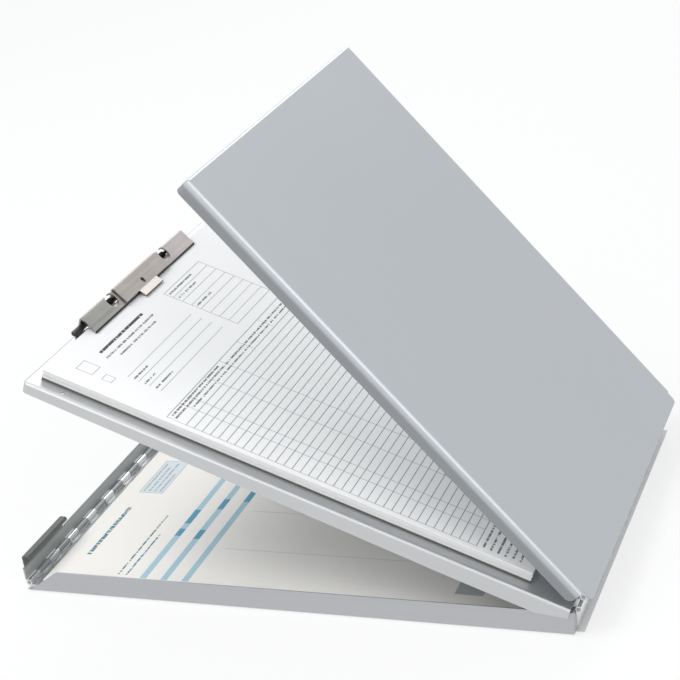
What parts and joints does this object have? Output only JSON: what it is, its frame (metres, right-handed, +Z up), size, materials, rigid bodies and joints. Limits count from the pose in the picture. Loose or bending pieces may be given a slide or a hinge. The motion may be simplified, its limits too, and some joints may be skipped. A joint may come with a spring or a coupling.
{
  "type": "storage clipboard box",
  "caption": "Aluminium form holder: a shallow storage tray with a hooked latch wall, a hinged writing plate with a spring clip, and a hinged cover on one spine.",
  "frame": {"origin": "middle of the tray's flat underside", "axes": "+X from the open head end to the hinged foot end, +Y across the tray towards its far side, +Z up"},
  "size_m": [0.3302, 0.2296, 0.2444],
  "materials": {
    "aluminium_sheet": "satin, lightly brushed",
    "cover_sheet": "satin, lightly brushed",
    "latch_sheet": "satin",
    "hinge_leaf": "smooth",
    "rivet": "smooth",
    "pin_steel": "smooth",
    "clip_nickel": "nickel plate, polished",
    "clip_base_black": "black, dull",
    "black_cap": "matt black",
    "spring_steel": "bright wire",
    "paper_white": "printed ruled form",
    "paper_blue_form": "printed form with pale blue bars",
    "grey_board": "matt"
  },
  "bodies": {
    "tray": {"bottom_tray": "aluminium_sheet", "latch_leaf": "hinge_leaf", "latch_pin": "pin_steel", "tray_hinge_leaf": "hinge_leaf", "tray_hinge_rivets": "rivet", "lower_hinge_pin": "pin_steel", "stored_forms": "paper_blue_form"},
    "latch": {"latch_wall": "latch_sheet"},
    "plate": {"writing_plate": "aluminium_sheet", "spine_strip": "hinge_leaf", "spine_rivets": "rivet", "upper_hinge_pin": "pin_steel", "clip_base": "clip_base_black", "clip_rivets": "clip_nickel", "clip_rod": "clip_nickel", "rod_cap": "black_cap", "clip_springs": "spring_steel", "pad_backing": "grey_board", "form_pad": "paper_white"},
    "cover": {"cover": "cover_sheet", "cover_hinge_leaf": "hinge_leaf"},
    "jaw": {"clip_jaw": "clip_nickel"},
    "lever": {"clip_lever": "clip_nickel"}
  },
  "joints": [
    {"name": "plate_hinge", "type": "hinge", "parent": "tray", "child": "plate", "pos_m": [0.1606, 0, 0.0131], "axis": [0, 1, 0], "range_deg": [-22.4, 52.6]},
    {"name": "cover_hinge", "type": "hinge", "parent": "plate", "child": "cover", "pos_m": [0.16369, 0, 0.02059], "axis": [0, 1, 0], "range_deg": [-29.1, 75.9]},
    {"name": "latch_hinge", "type": "hinge", "parent": "tray", "child": "latch", "pos_m": [-0.16025, 0, 0.00265], "axis": [0, -1, 0], "range_deg": [-20, 75]},
    {"name": "lever_pivot", "type": "hinge", "parent": "plate", "child": "lever", "pos_m": [-0.1235, 0, 0.13863], "axis": [0, -1, 0], "range_deg": [0, 45], "stiffness_Nm_per_rad": 0.05, "springref_deg": -28.65},
    {"name": "jaw_pivot", "type": "hinge", "parent": "plate", "child": "jaw", "pos_m": [-0.1235, 0, 0.13863], "axis": [0, -1, 0], "range_deg": [0, 18]}
  ],
  "couplings": [
    {"joint": "jaw_pivot", "follows": "lever_pivot", "ratio": 0.4}
  ]
}
